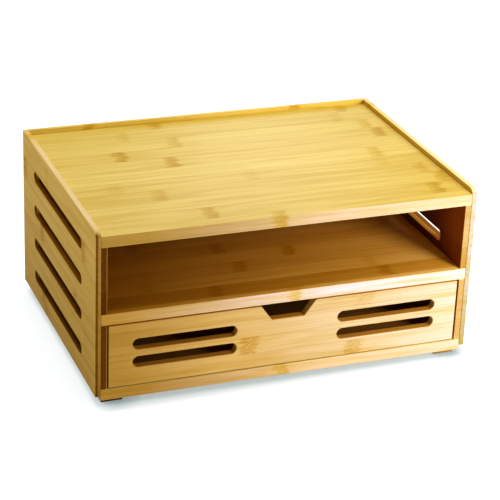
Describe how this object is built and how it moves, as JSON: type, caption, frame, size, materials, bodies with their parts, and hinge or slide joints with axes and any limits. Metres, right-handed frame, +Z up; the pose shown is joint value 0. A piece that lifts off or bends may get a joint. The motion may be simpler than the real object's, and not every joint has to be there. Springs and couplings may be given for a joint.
{
  "type": "monitor riser stand",
  "caption": "Slatted-side bamboo desk riser: flat top with a low rim, an open bay, and a slotted drawer with a finger notch.",
  "frame": {"origin": "centre of the footprint, on the surface that the four feet stand on", "axes": "+X to the right as seen from the front, +Y from the drawer front to the back panel, +Z up"},
  "size_m": [0.35, 0.245, 0.1638],
  "materials": {
    "bamboo_board": "laminated bamboo, clear satin lacquer",
    "bamboo_panel": "thin laminated bamboo, clear satin lacquer",
    "bamboo_upright": "laminated bamboo, clear satin lacquer, darker end grain to the front",
    "bamboo_foot": "bamboo pad, end grain to the front",
    "bamboo_drawer": "laminated bamboo, clear satin lacquer",
    "dowel_wood": "plain beech dowel",
    "brad_steel": "bright drawn steel"
  },
  "bodies": {
    "carcass": {"top_board": "bamboo_board", "middle_shelf": "bamboo_board", "base_board": "bamboo_board", "left_side_panel": "bamboo_panel", "right_side_panel": "bamboo_panel", "back_panel": "bamboo_panel", "upper_left_upright": "bamboo_upright", "upper_right_upright": "bamboo_upright", "lower_left_upright": "bamboo_upright", "lower_right_upright": "bamboo_upright", "foot_front_left": "bamboo_foot", "foot_front_right": "bamboo_foot", "foot_back_left": "bamboo_foot", "foot_back_right": "bamboo_foot", "top_dowels": "dowel_wood", "shelf_dowels": "dowel_wood", "base_dowels": "dowel_wood", "back_panel_brads": "brad_steel"},
    "drawer": {"drawer_front": "bamboo_drawer", "drawer_left_side": "bamboo_drawer", "drawer_right_side": "bamboo_drawer", "drawer_back": "bamboo_drawer", "drawer_bottom": "bamboo_panel", "drawer_front_dowels": "dowel_wood", "drawer_back_dowels": "dowel_wood", "drawer_bottom_brads": "brad_steel"}
  },
  "joints": [
    {"name": "drawer_slide", "type": "slide", "parent": "carcass", "child": "drawer", "axis": [0, -1, 0], "range_m": [0, 0.2]}
  ]
}
